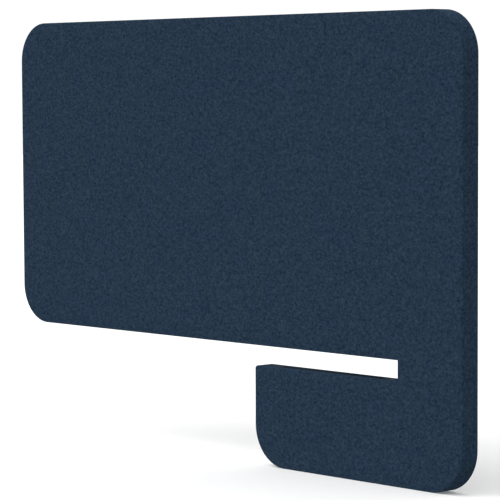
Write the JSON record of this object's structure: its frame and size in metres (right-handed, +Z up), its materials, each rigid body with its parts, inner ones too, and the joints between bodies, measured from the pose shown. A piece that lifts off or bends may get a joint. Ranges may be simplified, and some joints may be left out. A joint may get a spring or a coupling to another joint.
{
  "type": "desk privacy panel",
  "caption": "Hook-shaped fabric-covered desk privacy panel whose open-ended slot slides over a worktop's end, with rounded corners and a tongue under the worktop.",
  "frame": {"origin": "inner end of the slot, in the middle of the panel's thickness, on the slot's upper face where the panel stands on the worktop", "axes": "+X along the panel from the free edge towards the post, +Y from the front to the back, +Z up; the slot opens towards -X"},
  "size_m": [0.8, 0.025, 0.536],
  "materials": {
    "cover_cloth": "dense felted upholstery cloth, heathered navy",
    "back_cloth": "the same cloth on the back",
    "thread": "matt sewing thread",
    "foam": null,
    "infill": "pressed polyester fibre board",
    "timber": "planed softwood and plywood",
    "dowel_wood": "fluted hardwood dowel",
    "hardboard": "smooth hardboard",
    "brace_steel": "zinc-plated sheet steel",
    "screw_steel": "zinc-plated",
    "screw_black": "black oxide",
    "staple_wire": "galvanised wire",
    "liner_plastic": "fine-textured dark navy, matched to the cloth",
    "grip_rubber": "ribbed, matt, dark navy"
  },
  "bodies": {
    "root": {"left_stile": "timber", "top_rail": "timber", "post": "timber", "seat_rail": "timber", "tongue_block": "timber", "infill_board": "infill", "frame_dowels": "dowel_wood", "brace_plate": "brace_steel", "brace_screws": "screw_steel", "front_facing": "hardboard", "back_facing": "hardboard", "front_pad": "foam", "back_pad": "foam", "front_cover": "cover_cloth", "back_cover": "back_cloth", "seam_thread": "thread", "cover_staples": "staple_wire", "slot_liner_upper": "liner_plastic", "slot_liner_lower": "liner_plastic", "slot_liner_end": "liner_plastic", "liner_screws": "screw_black", "upper_grip_strip": "grip_rubber", "lower_grip_strip": "grip_rubber", "end_bumper": "grip_rubber"}
  },
  "joints": []
}
